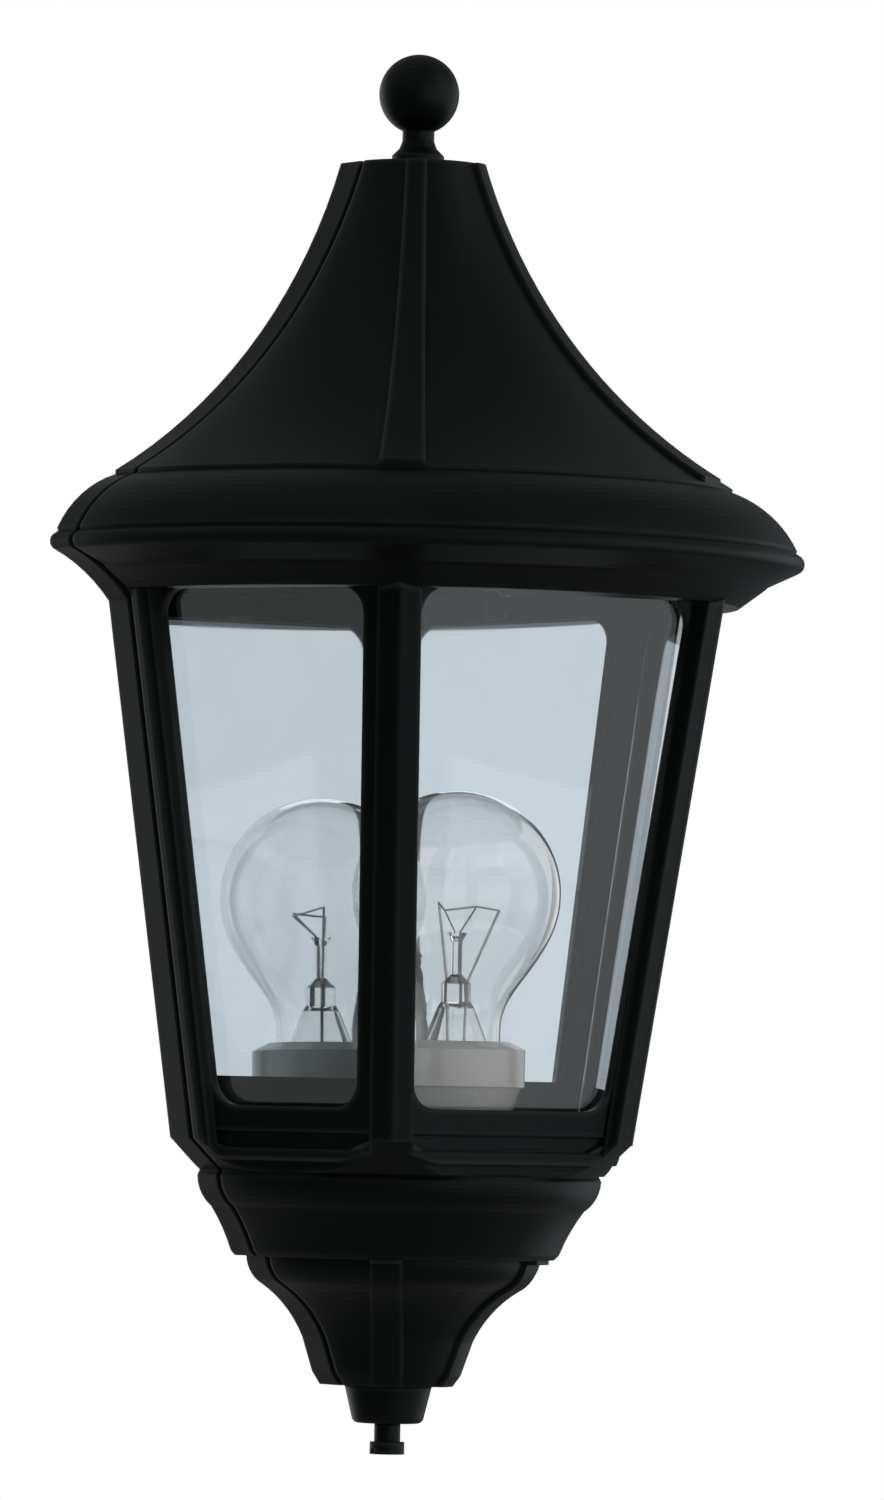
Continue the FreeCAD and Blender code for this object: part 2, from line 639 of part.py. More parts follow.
for mid, normal in tabs:
    tab = Part.makeBox(TAB_W, TAB_OUT + TAB_EDGE, CLIP_T, V(-TAB_W / 2, -TAB_OUT - TAB_EDGE, tab_z))
    tab.rotate(V(0, 0, 0), V(0, 0, 1), math.degrees(math.atan2(normal.x, -normal.y)))
    tab.translate(V(mid.x, mid.y, 0) - normal * (CAGE_WALL / 2))
    at = mid + normal * TAB_OUT
    tab_hole = rod((at.x, at.y, tab_z - 1), (at.x, at.y, tab_z + CUT_PAST), SCREW_D + SCREW_GAP)
    cage = cage.fuse(tab).cut(tab_hole)
cage = cage.cut(notch).removeSplitter()
export(cage, "lantern_cage")

# Three flat panes behind the windows, held by clips on the rails
seat_wall = CAGE_WALL + PANE_SEAT
pane_top, pane_foot = OPEN_TOP + PANE_LAP, OPEN_BOT - PANE_LAP
skin = frustum(pane_foot, pane_top, seat_wall, 0.0)
skin = skin.cut(frustum(pane_foot - 1, pane_top + 1, seat_wall + PANE_T, CUT_PAST))
clips = []
for face in ("front", "left", "right"):
    rear = PANE_CORNER if face == "front" else PANE_REAR
    pane = skin.common(window(face, pane_foot, pane_top, rear, PANE_CORNER, 0))
    pane.translate(V(0, FRONT_Y, 0))
    export(pane, face + "_pane")
    for z_edge, up in ((pane_top, 1), (pane_foot, -1)):
        w, f, d, slope = section(z_edge, CAGE_WALL)
        mid, normal = V(0, -d, 0), V(0, -1, 0)
        if face != "front":
            sign = 1 if face == "right" else -1
            mid, normal = V(sign * (w + f) / 2, -d / 2, 0), V(sign, -slope, 0).normalize()
        depth = PANE_T + PANE_SEAT + CLIP_ROOM
        body = Part.makeBox(CLIP_W, depth + CLIP_T, CLIP_H, V(-CLIP_W / 2, 0, CLIP_GAP))
        finger = Part.makeBox(CLIP_W, CLIP_T, CLIP_H + CLIP_GAP, V(-CLIP_W / 2, depth, -CLIP_H))
        clip = body.fuse(finger).removeSplitter()
        if up < 0:
            clip = clip.mirror(V(0, 0, 0), V(0, 0, 1))
        clip.rotate(V(0, 0, 0), V(0, 0, 1), math.degrees(math.atan2(normal.x, -normal.y)))
        clip.translate(V(mid.x, mid.y + FRONT_Y, z_edge))
        clips.append(clip.cut(cage).cut(pane))
export(Part.makeCompound(clips), "pane_clips")

# Finial with its stud
seat = ROOF_TOP_Z + TURN_GAP
ball_z = ROOF_TOP_Z + BALL_RISE
finial = turned([(0, seat), (FINIAL_FOOT_D / 2, seat), (FINIAL_FOOT_D / 2, seat + FINIAL_FOOT_H),
                 (NECK_D / 2 + 0.8, seat + 2 * FINIAL_FOOT_H), (NECK_D / 2, seat + 3 * FINIAL_FOOT_H),
                 (NECK_D / 2, ball_z), (0, ball_z)], 0, AXIS_Y)
finial = finial.fuse(Part.makeSphere(BALL_D / 2, V(0, AXIS_Y, ball_z)))
stud_foot = tongue_top - TONGUE_T - STUD_END
finial = finial.fuse(rod((0, AXIS_Y, stud_foot), (0, AXIS_Y, seat + 1), STUD_D)).removeSplitter()
export(finial, "finial")

# Ferrule and retaining screw below the cup
ferrule_top = BOTTOM_Z - TURN_GAP
ferrule_foot = ferrule_top - FERRULE_H
ferrule = turned([(0, ferrule_top), (FERRULE_TOP_D / 2, ferrule_top), (FERRULE_FOOT_D / 2, ferrule_foot),
                  (0, ferrule_foot)], 0, BASE_Y)
low = [e for e in ferrule.Edges if abs(e.BoundBox.ZMax - ferrule_foot) < 1e-6]
ferrule = ferrule.makeFillet(FERRULE_ROUND, low)
ferrule_bore = STUD_D + 2 * NOTCH_GAP
ferrule = ferrule.cut(rod((0, BASE_Y, ferrule_foot - 1), (0, BASE_Y, ferrule_top + 1), ferrule_bore))
ferrule = ferrule.common(box(-BIG, BIG, -BIG, -WALL_GAP, -BIG, BIG))
export(ferrule, "bottom_ferrule")
collar_top = ferrule_foot - TURN_GAP
head_top = collar_top - COLLAR_H
head_foot = head_top - HEAD_H
screw_tip = tongue_foot + TONGUE_T + STUD_END
screw = turned([(0, screw_tip), (STUD_D / 2, screw_tip),
                (STUD_D / 2, collar_top), (COLLAR_D / 2, collar_top), (COLLAR_D / 2, head_top),
                (HEAD_D / 2, head_top), (HEAD_D / 2, head_foot), (0, head_foot)], 0, BASE_Y)
slot = box(-HEAD_D, HEAD_D, BASE_Y - SLOT_W / 2, BASE_Y + SLOT_W / 2, head_foot - 1, head_foot + SLOT_DEPTH)
export(screw.cut(slot), "retaining_screw")

# Bracket that carries the lamp holder
shelf_end = LAMP_Y - HOLDER_FOOT_D / 2
bracket = box(-BRACKET_W / 2, BRACKET_W / 2, shelf_end, -PLATE_WEB, SHELF_Z, HOLDER_FOOT_Z)
bracket = bracket.fuse(box(-BRACKET_W / 2, BRACKET_W / 2, -PLATE_WEB - BRACKET_T, -PLATE_WEB,
                           SHELF_Z, SHELF_Z + BRACKET_LEG))
bracket = bracket.removeSplitter()
screws = []
for x in (-BRACKET_SCREW_X, BRACKET_SCREW_X):
    leg_hole = rod((x, 0, bracket_screw_z), (x, -PLATE_DEPTH, bracket_screw_z), SCREW_D + SCREW_GAP)
    bracket = bracket.cut(leg_hole)
    seat_y = -PLATE_WEB - BRACKET_T
    screws.append(pan_screw((x, seat_y, bracket_screw_z), (0, 1, 0), BRACKET_T + SCREW_BITE))
holder_holes = []
holder_screws = []
for x in (-HOLDER_SCREW_X, HOLDER_SCREW_X):
    bracket = bracket.cut(rod((x, LAMP_Y, SHELF_Z - 1), (x, LAMP_Y, HOLDER_FOOT_Z + 1), SCREW_D + SCREW_GAP))
    end = (x, LAMP_Y, HOLDER_FOOT_Z + HOLDER_BITE)
    holder_holes.append(rod((x, LAMP_Y, HOLDER_FOOT_Z - 1), end, SCREW_D))
    holder_screws.append(pan_screw((x, LAMP_Y, SHELF_Z), (0, 0, 1), BRACKET_T + HOLDER_BITE))
export(bracket, "lamp_bracket")
export(Part.makeCompound(screws), "bracket_screws")
export(Part.makeCompound(holder_screws), "holder_screws")

# Porcelain lamp holder with its screw shell and contact
shell_r = CAP_D / 2 + SHELL_GAP
bore_r = shell_r + SHELL_T
ring_z = HOLDER_TOP_Z - HOLDER_RING_H
cone_z = ring_z - HOLDER_CONE_H
floor_z = HOLDER_FOOT_Z + HOLDER_FLOOR
holder = turned([(bore_r, HOLDER_TOP_Z), (HOLDER_D / 2 - HOLDER_SHOULDER_W, HOLDER_TOP_Z),
                 (HOLDER_D / 2, HOLDER_TOP_Z - HOLDER_SHOULDER_H), (HOLDER_D / 2, ring_z),
                 (HOLDER_D / 2 - HOLDER_STEP, ring_z), (HOLDER_FOOT_D / 2, cone_z),
                 (HOLDER_FOOT_D / 2, HOLDER_FOOT_Z), (0, HOLDER_FOOT_Z), (0, floor_z),
                 (bore_r, floor_z)], 0, LAMP_Y)
lead_zs = [BLOCK_Z + BLOCK_PITCH / 2, BLOCK_Z - BLOCK_PITCH / 2]
for hole in holder_holes:
    holder = holder.cut(hole)
lead_start = LAMP_Y + math.sqrt((HOLDER_FOOT_D / 2) ** 2 - LEAD_X ** 2) - LEAD_SEAT
for z in lead_zs:
    holder = holder.cut(rod((LEAD_X, lead_start, z), (LEAD_X, 0, z), LEAD_D))
export(holder, "lamp_holder")
shell_top = HOLDER_TOP_Z - SHELL_DROP
shell_foot = CAP_FOOT_Z - SHELL_PAST
sleeve = Part.makeCylinder(bore_r, shell_top - shell_foot, V(0, LAMP_Y, shell_foot))
sleeve = sleeve.cut(Part.makeCylinder(shell_r, BIG, V(0, LAMP_Y, -BIG / 2)))
export(sleeve, "holder_shell")
tip = BUTTON_Z - TURN_GAP
contact = box(-CONTACT_L / 2, CONTACT_L / 2, LAMP_Y - CONTACT_W / 2, LAMP_Y + CONTACT_W / 2,
              floor_z, floor_z + CONTACT_T)
contact = contact.fuse(rod((0, LAMP_Y, floor_z), (0, LAMP_Y, tip), CONTACT_PIN)).removeSplitter()
export(contact, "holder_contact")

# Terminal block, its clamp screws and the two leads to the holder
block = box(BLOCK_X, BLOCK_X + BLOCK_L, -PLATE_WEB - BLOCK_DEPTH, -PLATE_WEB,
            BLOCK_Z - BLOCK_H / 2, BLOCK_Z + BLOCK_H / 2)
lead_y = -PLATE_WEB - BLOCK_BORE_Y
clamps = []
leads = []
for z in lead_zs:
    block = block.cut(rod((BLOCK_X - 1, lead_y, z), (BLOCK_X + BLOCK_L + 1, lead_y, z), BLOCK_BORE))
    for x in (BLOCK_X + CLAMP_IN, BLOCK_X + BLOCK_L - CLAMP_IN):
        top = -PLATE_WEB - BLOCK_DEPTH
        block = block.cut(rod((x, top - 1, z), (x, lead_y, z), BLOCK_BORE))
        clamps.append(rod((x, top + CLAMP_SUNK, z), (x, lead_y - LEAD_D / 2, z), BLOCK_BORE))
    bend = V(LEAD_X + LEAD_BEND * (1 - math.sqrt(0.5)), lead_y - LEAD_BEND * (1 - math.sqrt(0.5)), z)
    a, b = V(LEAD_X, lead_start, z), V(LEAD_X, lead_y - LEAD_BEND, z)
    c, e = V(LEAD_X + LEAD_BEND, lead_y, z), V(BLOCK_X + LEAD_END, lead_y, z)
    path = Part.Wire([Part.LineSegment(a, b).toShape(), Part.Arc(b, bend, c).toShape(),
                      Part.LineSegment(c, e).toShape()])
    ring = Part.Wire(Part.makeCircle(LEAD_D / 2, a, V(0, 1, 0)))
    leads.append(path.makePipeShell([ring], True, False))
export(block, "terminal_block")
export(Part.makeCompound(clamps), "terminal_screws")
export(Part.makeCompound(leads), "lamp_leads")

# Earth screw and cable grommet
export(pan_screw((EARTH_X, -PLATE_WEB, EARTH_Z), (0, 1, 0), SCREW_BITE), "earth_screw")
lip_r = CABLE_HOLE / 2 + GROMMET_LIP
rubber = Part.makeCylinder(lip_r, GROMMET_RISE, V(CABLE_X, -PLATE_WEB, CABLE_Z), V(0, -1, 0))
rubber = rubber.fuse(rod((CABLE_X, 0, CABLE_Z), (CABLE_X, -PLATE_WEB, CABLE_Z), CABLE_HOLE))
rubber = rubber.cut(rod((CABLE_X, 1, CABLE_Z), (CABLE_X, -PLATE_DEPTH, CABLE_Z), CABLE_D)).removeSplitter()
export(rubber, "cable_grommet")


def bulb_wire(gap):
    """Right half of the bulb outline, drawn in by a gap."""
    r, neck = BULB_D / 2 - gap, BULB_NECK_D / 2 - gap
    turn = math.radians(-BULB_TURN)
    side = (r * math.cos(turn), r * math.sin(turn))
    shoulder = (neck, NECK_Z)
    slope = (math.sin(turn), -math.cos(turn))
    mid = (side[0] + slope[0] * BULB_SHOULDER, side[1] + slope[1] * BULB_SHOULDER)
    edges = [arc((0, r), (r * math.cos(0.5), r * math.sin(0.5)), side)]
    curve = Part.BezierCurve()
    curve.setPoles([V(side[0], 0, side[1]), V(mid[0], 0, mid[1]),
                    V(neck, 0, NECK_Z + NECK_RISE), V(neck, 0, NECK_Z)])
    edges.append(curve.toShape())
    edges.append(line(shoulder, (neck, CAP_TOP_Z)))
    edges.append(line((neck, CAP_TOP_Z), (0, CAP_TOP_Z)))
    edges.append(line((0, CAP_TOP_Z), (0, r)))
    return Part.Wire(edges)


# Bulb: thin envelope, threaded cap, insulator and solder button
outer = Part.Face(bulb_wire(0.0)).revolve(V(0, 0, 0), V(0, 0, 1), 360)
inner = Part.Face(bulb_wire(BULB_WALL)).revolve(V(0, 0, 0), V(0, 0, 1), 360)
export(outer.cut(inner).translated(V(0, LAMP_Y, 0)), "bulb_envelope")
cap_r = CAP_D / 2
points = [(0, CAP_TOP_Z), (cap_r, CAP_TOP_Z)]
turns = int((CAP_H - CAP_RIM) / CAP_PITCH)
for i in range(turns):
    z = CAP_TOP_Z - CAP_RIM - i * CAP_PITCH
    points += [(cap_r, z), (cap_r - CAP_DEPTH, z - CAP_PITCH / 2)]
cap_foot_r = cap_r - CAP_FOOT_IN
points += [(cap_r, CAP_TOP_Z - CAP_RIM - turns * CAP_PITCH), (cap_foot_r, CAP_FOOT_Z), (0, CAP_FOOT_Z)]
export(turned(points, 0, LAMP_Y), "bulb_cap")
insulator = turned([(0, CAP_FOOT_Z), (cap_foot_r - CAP_LAP, CAP_FOOT_Z),
                    (BUTTON_D / 2, CAP_FOOT_Z - INSULATOR_H), (0, CAP_FOOT_Z - INSULATOR_H)], 0, LAMP_Y)
export(insulator, "bulb_insulator")
button = turned([(0, CAP_FOOT_Z - INSULATOR_H), (BUTTON_D / 2, CAP_FOOT_Z - INSULATOR_H),
                 (BUTTON_D / 2 - BUTTON_ROUND, BUTTON_Z), (0, BUTTON_Z)], 0, LAMP_Y)
export(button, "bulb_contact")

def around(r, azimuth, z):
    """Point at a radius and an azimuth about the axis of the bulb."""
    a = math.radians(azimuth)
    return (r * math.cos(a), LAMP_Y + r * math.sin(a), z)


# Glass stem, lead wires, supports and filament inside the bulb
neck_r = BULB_NECK_D / 2 - BULB_WALL
button_foot, press_foot = STEM_BUTTON_Z - STEM_BUTTON_H, STEM_PINCH_Z - STEM_PINCH_H
tube_top, flare_z = press_foot - STEM_PINCH_R / 2, CAP_TOP_Z + STEM_FLARE
stem = turned([(0, STEM_BUTTON_Z), (STEM_BUTTON_R, STEM_BUTTON_Z), (STEM_R, button_foot),
               (STEM_R, STEM_PINCH_Z), (STEM_PINCH_R, STEM_PINCH_Z - STEM_PINCH_H / 3),
               (STEM_PINCH_R, press_foot), (STEM_TUBE_R, tube_top), (neck_r - STEM_FLARE, flare_z),
               (neck_r, CAP_TOP_Z), (0, CAP_TOP_Z)], 0, LAMP_Y)
inner_top = press_foot - STEM_WALL
stem = stem.cut(turned([(0, inner_top), (STEM_PINCH_R - STEM_WALL, inner_top),
                        (STEM_TUBE_R - STEM_WALL, tube_top), (neck_r - STEM_FLARE - STEM_WALL, flare_z),
                        (neck_r - STEM_WALL, CAP_TOP_Z), (0, CAP_TOP_Z)], 0, LAMP_Y))
anchors = [around(*tip) for tip in (WIRE_TIPS[0], *SUPPORT_TIPS, WIRE_TIPS[1])]
coil = Part.makeSphere(FILAMENT_D / 2, V(*anchors[0]))
for p, q in zip(anchors[:-1], anchors[1:]):
    coil = coil.fuse(rod(p, q, FILAMENT_D)).fuse(Part.makeSphere(FILAMENT_D / 2, V(*q)))
coil = coil.removeSplitter()
wires = []
for r, azimuth, z in WIRE_TIPS:
    knee = around(WIRE_KNEE_R, azimuth, STEM_PINCH_Z - WIRE_KNEE_DROP)
    end = around(WIRE_FOOT_R, azimuth, CAP_TOP_Z + WIRE_FOOT_GAP)
    wire = rod(end, knee, LEAD_WIRE_D).fuse(Part.makeSphere(LEAD_WIRE_D / 2, V(*knee)))
    wire = wire.fuse(rod(knee, around(r, azimuth, z), LEAD_WIRE_D)).removeSplitter()
    wires.append(wire.cut(coil))
    stem = stem.cut(wire)
supports = []
for tip in SUPPORT_TIPS:
    support = rod((0, LAMP_Y, STEM_BUTTON_Z - STEM_BUTTON_H / 2), around(*tip), SUPPORT_D)
    supports.append(support.cut(stem).cut(coil))
export(stem, "bulb_stem")
export(Part.makeCompound(wires), "lead_wires")
export(Part.makeCompound(supports), "filament_supports")
export(coil, "filament")
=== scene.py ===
# %% [markdown]
# # A half lantern for an outside wall
# The real lamp is a black cast-aluminium half lantern: a flared roof, three flat panes and
# a round base, drawn up against a shallow plate on the wall. The exact solids come from the
# construction model. This script only dresses them: finishes, light and a camera.

# %% Load the frame
import json
import math

import bpy
from mathutils import Matrix, Vector


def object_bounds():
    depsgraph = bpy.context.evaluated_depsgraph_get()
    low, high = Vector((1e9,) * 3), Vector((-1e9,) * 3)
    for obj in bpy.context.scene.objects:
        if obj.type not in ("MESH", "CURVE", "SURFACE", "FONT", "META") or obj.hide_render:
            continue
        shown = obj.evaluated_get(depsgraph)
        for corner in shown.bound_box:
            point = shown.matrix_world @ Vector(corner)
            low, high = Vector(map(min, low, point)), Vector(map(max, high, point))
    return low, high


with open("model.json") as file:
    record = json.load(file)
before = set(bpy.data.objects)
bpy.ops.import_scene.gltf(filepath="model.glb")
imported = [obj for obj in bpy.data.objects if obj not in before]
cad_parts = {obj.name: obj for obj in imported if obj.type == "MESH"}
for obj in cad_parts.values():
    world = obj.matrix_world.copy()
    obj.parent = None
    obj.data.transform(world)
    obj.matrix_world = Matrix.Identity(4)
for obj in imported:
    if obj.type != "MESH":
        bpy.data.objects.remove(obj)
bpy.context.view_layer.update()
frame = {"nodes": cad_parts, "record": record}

nodes = frame["nodes"]

# %% [markdown]
# ## Writing a finish as arithmetic
# A finish in Blender is a web of nodes. Wiring each one by hand takes many lines that hide
# the idea, so one small class stands for a socket and turns plain sums into Math nodes.
# Colours are blended by Mix nodes instead, because a Math node would turn them grey. Anything
# else comes from the one method `node`. A Mix node has sockets for numbers and vectors too,
# so its colour sockets are named here by their places.

# %% A socket that can be added and multiplied
MIX_LOW = 6
MIX_HIGH = 7
MIX_RESULT = 2


def feed(tree, socket, value):
    """Links a signal to a socket, or sets the socket's own value."""
    if isinstance(value, Signal):
        tree.links.new(value.socket, socket)
    else:
        socket.default_value = value


class Signal:
    """One socket of a node tree, with sums that add Math nodes."""

    def __init__(self, tree, socket=None):
        self.tree = tree
        self.socket = socket

    def node(self, kind, settings=(), sockets=(), out=0):
        """Adds any node: its settings first, then the values or links of its sockets."""
        made = self.tree.nodes.new(kind)
        for name, value in dict(settings).items():
            setattr(made, name, value)
        for name, value in dict(sockets).items():
            feed(self.tree, made.inputs[name], value)
        return Signal(self.tree, made.outputs[out])

    def maths(self, operation, first, second):
        """Adds one Math node that works on two values."""
        return self.node("ShaderNodeMath", {"operation": operation}, {0: first, 1: second})

    def __add__(self, other):
        return self.maths("ADD", self, other)

    def __sub__(self, other):
        return self.maths("SUBTRACT", self, other)

    def __rsub__(self, other):
        return self.maths("SUBTRACT", other, self)

    def __mul__(self, other):
        return self.maths("MULTIPLY", self, other)

    __radd__ = __add__
    __rmul__ = __mul__

    def mixed(self, low, high):
        """A colour between two others, with this signal as the share of the second."""
        return self.node("ShaderNodeMix", {"data_type": "RGBA"},
                         {0: self, MIX_LOW: low, MIX_HIGH: high}, out=MIX_RESULT)

    def ramped(self, start, end, low=0.0, high=1.0):
        """This signal eased from one range to another, and held at its ends."""
        return self.node("ShaderNodeMapRange", {"interpolation_type": "SMOOTHSTEP"},
                         {"Value": self, "From Min": start, "From Max": end,
                          "To Min": low, "To Max": high})


print("a sum on a socket adds one Math node")

# %% [markdown]
# ## Grain and unevenness
# No real finish is one flat colour. Powder paint has a fine orange peel, glass has smears and
# porcelain has specks. All come from noise that is fixed to the piece in metres, so that the
# grain keeps its true size on small and large pieces alike and moves with its piece.


# %% Noise in true size
def grain(tree, size, detail=2.0, stretch=(1.0, 1.0, 1.0)):
    """Noise from 0 to 1 whose blotches are about `size` metres across."""
    start = Signal(tree)
    place = start.node("ShaderNodeTexCoord", out="Object")
    place = start.node("ShaderNodeVectorMath", {"operation": "MULTIPLY"}, {0: place, 1: stretch})
    return start.node("ShaderNodeTexNoise", {},
                      {"Vector": place, "Scale": 1 / size, "Detail": detail})


print("noise is laid out in metres")

# %% [markdown]
# ## A shader to start from
# Every finish here is one Principled shader. What is the same all over a piece is set on the
# shader's own sockets, and only what varies is linked. Fine relief comes from a Bump node. A
# Bevel node can feed it, which bends the light as if the sharp edges of a solid were rounded.

# %% New finishes and their relief
EDGE_SAMPLES = 4


def new_finish(name, **constants):
    """A material with one Principled shader; words name its sockets that stay the same all over."""
    finish = bpy.data.materials.new(name)
    finish.use_nodes = True
    shader = finish.node_tree.nodes["Principled BSDF"]
    for word, value in constants.items():
        title = word.replace("_", " ").title().replace("Ior", "IOR")
        shader.inputs[title].default_value = value
    return finish, finish.node_tree, shader


def bumped(tree, shader, height, distance, strength=1.0, edge=0.0):
    """Turns a height signal into small relief on a shader, over edges rounded to a radius."""
    sockets = {"Height": height, "Distance": distance, "Strength": strength}
    if edge:
        sockets["Normal"] = Signal(tree).node("ShaderNodeBevel", {"samples": EDGE_SAMPLES},
                                              {"Radius": edge})
    feed(tree, shader.inputs["Normal"], Signal(tree).node("ShaderNodeBump", {}, sockets))


print("edges are found with", EDGE_SAMPLES, "samples")

# %% [markdown]
# ## Satin black paint on the castings
# The body is powder coated in satin black. Its colour is almost nothing: what the eye reads is the
# soft sheen on every curve and a paler line along the edges. That line is a painted highlight: a
# paler colour laid along the edges in place of the light that the rounded edges of a casting catch.
# Those lines could be painted on by hand. Here an Ambient Occlusion node that looks into the solid
# finds them on every casting: just beside an edge, its short rays soon meet the next face.

# %% Paint, clouded, with a painted highlight along its edges
PAINT_DARK = (0.0013, 0.0017, 0.0015, 1.0)
PAINT_WORN = (0.0028, 0.0035, 0.0032, 1.0)
# painted highlight: the paler colour laid along every edge of the castings
PAINT_EDGE_HIGHLIGHT = (0.024, 0.028, 0.026, 1.0)
PAINT_SPECULAR = 0.16
PAINT_TINT = (0.86, 1.0, 0.95, 1.0)
CLOUD_SIZE = 0.03
HIGHLIGHT_EDGE_WIDTH = 0.0016
EDGE_HIGHLIGHT_RANGE = (0.08, 0.45)
EDGE_HIGHLIGHT_LEAST = 0.4

paint, paint_tree, paint_shader = new_finish(
    "satin_black_paint", specular_ior_level=PAINT_SPECULAR, specular_tint=PAINT_TINT)
cloud = grain(paint_tree, CLOUD_SIZE)
buried = Signal(paint_tree).node(
    "ShaderNodeAmbientOcclusion",
    {"inside": True, "only_local": True, "samples": EDGE_SAMPLES},
    {"Distance": HIGHLIGHT_EDGE_WIDTH}, out="AO")
# mask of the painted highlight: near an edge the colour turns to the paler one
edge = (1 - buried).ramped(*EDGE_HIGHLIGHT_RANGE) * (EDGE_HIGHLIGHT_LEAST + cloud * (1 - EDGE_HIGHLIGHT_LEAST))
coat = cloud.mixed(PAINT_DARK, PAINT_WORN)
feed(paint_tree, paint_shader.inputs["Base Color"], edge.mixed(coat, PAINT_EDGE_HIGHLIGHT))

# %% [markdown]
# ## The sheen of the paint
# The roughness decides how wide the sheen is. A little unevenness in it, from the same clouds
# and the orange peel, keeps the paint from looking like plastic, and rounded edges catch a
# line of light as cast ones do.

# %% Sheen, peel and soft edges
SATIN = 0.34
SATIN_CLOUD = 0.08
SATIN_PEEL = 0.05
PEEL_SIZE = 0.0016
PEEL_HEIGHT = 0.00003
PEEL_STRENGTH = 0.06
EDGE_ROUND = 0.0011

peel = grain(paint_tree, PEEL_SIZE)
satin = SATIN + cloud * SATIN_CLOUD + peel * SATIN_PEEL
feed(paint_tree, paint_shader.inputs["Roughness"], satin)
bumped(paint_tree, paint_shader, peel, PEEL_HEIGHT, PEEL_STRENGTH, EDGE_ROUND)
print("roughness of the paint from", SATIN, "to", round(SATIN + SATIN_CLOUD + SATIN_PEEL, 2))

# %% [markdown]
# ## Metals
# The reflector is a polished sheet. The bracket, its screws and those of the holder are zinc
# plated, while the clips of the panes and the screws of the mirror and the roof are blackened.
# The holder's sleeve, its contact, the clamp screws and the earth screw are brass, the bulb's
# cap is tinned, and the filament and its wires are grey. Each is a full metal whose colour
# tints its reflections, and the roughness tells rolled, plated and turned metal apart.

# %% How a metal is made
WEAR_DETAIL = 3.0
WEAR_RANGE = (0.3, 0.75)


def metal(name, light, dark, smooth, rough, size, stretch=(1.0, 1.0, 1.0)):
    """A metal between two colours and two roughnesses, in blotches of one size."""
    finish, tree, shader = new_finish(name, metallic=1.0)
    wear = grain(tree, size, WEAR_DETAIL, stretch)
    feed(tree, shader.inputs["Base Color"], wear.mixed((*light, 1.0), (*dark, 1.0)))
    feed(tree, shader.inputs["Roughness"], wear.ramped(*WEAR_RANGE, smooth, rough))
    return finish


print("a metal wears over the noise from", *WEAR_RANGE)

# %% The metals of the lamp
polished = metal("polished_reflector", light=(0.60, 0.675, 0.735), dark=(0.56, 0.64, 0.70),
                 smooth=0.015, rough=0.05, size=0.03)
zinc = metal("zinc_plate", light=(0.62, 0.63, 0.63), dark=(0.42, 0.43, 0.44),
             smooth=0.25, rough=0.42, size=0.002)
blackened = metal("black_spring_steel", light=(0.055, 0.056, 0.06), dark=(0.03, 0.03, 0.033),
                  smooth=0.35, rough=0.55, size=0.004, stretch=(1.0, 1.0, 6.0))
brass = metal("holder_brass", light=(0.80, 0.58, 0.27), dark=(0.58, 0.40, 0.16),
              smooth=0.22, rough=0.40, size=0.004)
tinned = metal("cap_tinplate", light=(0.78, 0.77, 0.74), dark=(0.60, 0.58, 0.54),
               smooth=0.20, rough=0.36, size=0.005)
tungsten = metal("filament_tungsten", light=(0.56, 0.55, 0.54), dark=(0.38, 0.38, 0.38),
                 smooth=0.30, rough=0.50, size=0.001)
print("metals", polished.name, zinc.name, blackened.name, brass.name, tinned.name, tungsten.name)

# %% [markdown]
# ## Glass
# Panes and bulb are clear glass. Cycles can bend light through real thickness, and both have it
# in the solids, so a plain transmissive shader is right. Faint smears in the roughness stop the
# panes from vanishing altogether. The bulb's index is a little lower than that of real glass,
# which keeps the line round its thin wall light.

# %% Clear glass
WHITE = (1.0, 1.0, 1.0, 1.0)
FILM_SIZE = 0.05
FILM_DETAIL = 4.0
FILM_RANGE = (0.5, 0.8)


def glass(name, tint, ior, smear):
    """Clear glass under a faint film that roughens it in places, up to `smear`."""
    finish, tree, shader = new_finish(name, ior=ior, transmission_weight=1.0)
    film = grain(tree, FILM_SIZE, FILM_DETAIL)
    feed(tree, shader.inputs["Base Color"], film.mixed((*tint, 1.0), WHITE))
    feed(tree, shader.inputs["Roughness"], film.ramped(*FILM_RANGE, 0.0, smear))
    return finish


pane_glass = glass("clear_pane_glass", tint=(0.97, 0.985, 0.98), ior=1.52, smear=0.012)
bulb_glass = glass("clear_bulb_glass", tint=(0.985, 0.985, 0.985), ior=1.42, smear=0.004)
print("glass", pane_glass.name, bulb_glass.name)

# %% [markdown]
# ## Porcelain, plastic and rubber
# The lamp holder is glazed porcelain, the terminal block pale plastic, the bulb's insulator
# dark and smooth, and the lead sleeves and the grommet are dull. They are all plain
# dielectrics, so one function makes them from two close colours, two roughnesses and the size
# of their grain, with a little relief for the dull ones.

# %% How a dielectric is made
SPECK_DETAIL = 3.0
SPECK_RANGE = (0.3, 0.7)


def moulded(name, light, dark, smooth, rough, size, relief=0.0):
    """A dielectric between two colours and two roughnesses, with specks of one size."""
    finish, tree, shader = new_finish(name)
    speck = grain(tree, size, SPECK_DETAIL)
    feed(tree, shader.inputs["Base Color"], speck.mixed((*light, 1.0), (*dark, 1.0)))
    feed(tree, shader.inputs["Roughness"], speck.ramped(*SPECK_RANGE, smooth, rough))
    if relief:
        bumped(tree, shader, speck, relief)
    return finish


print("a dielectric is specked over the noise from", *SPECK_RANGE)
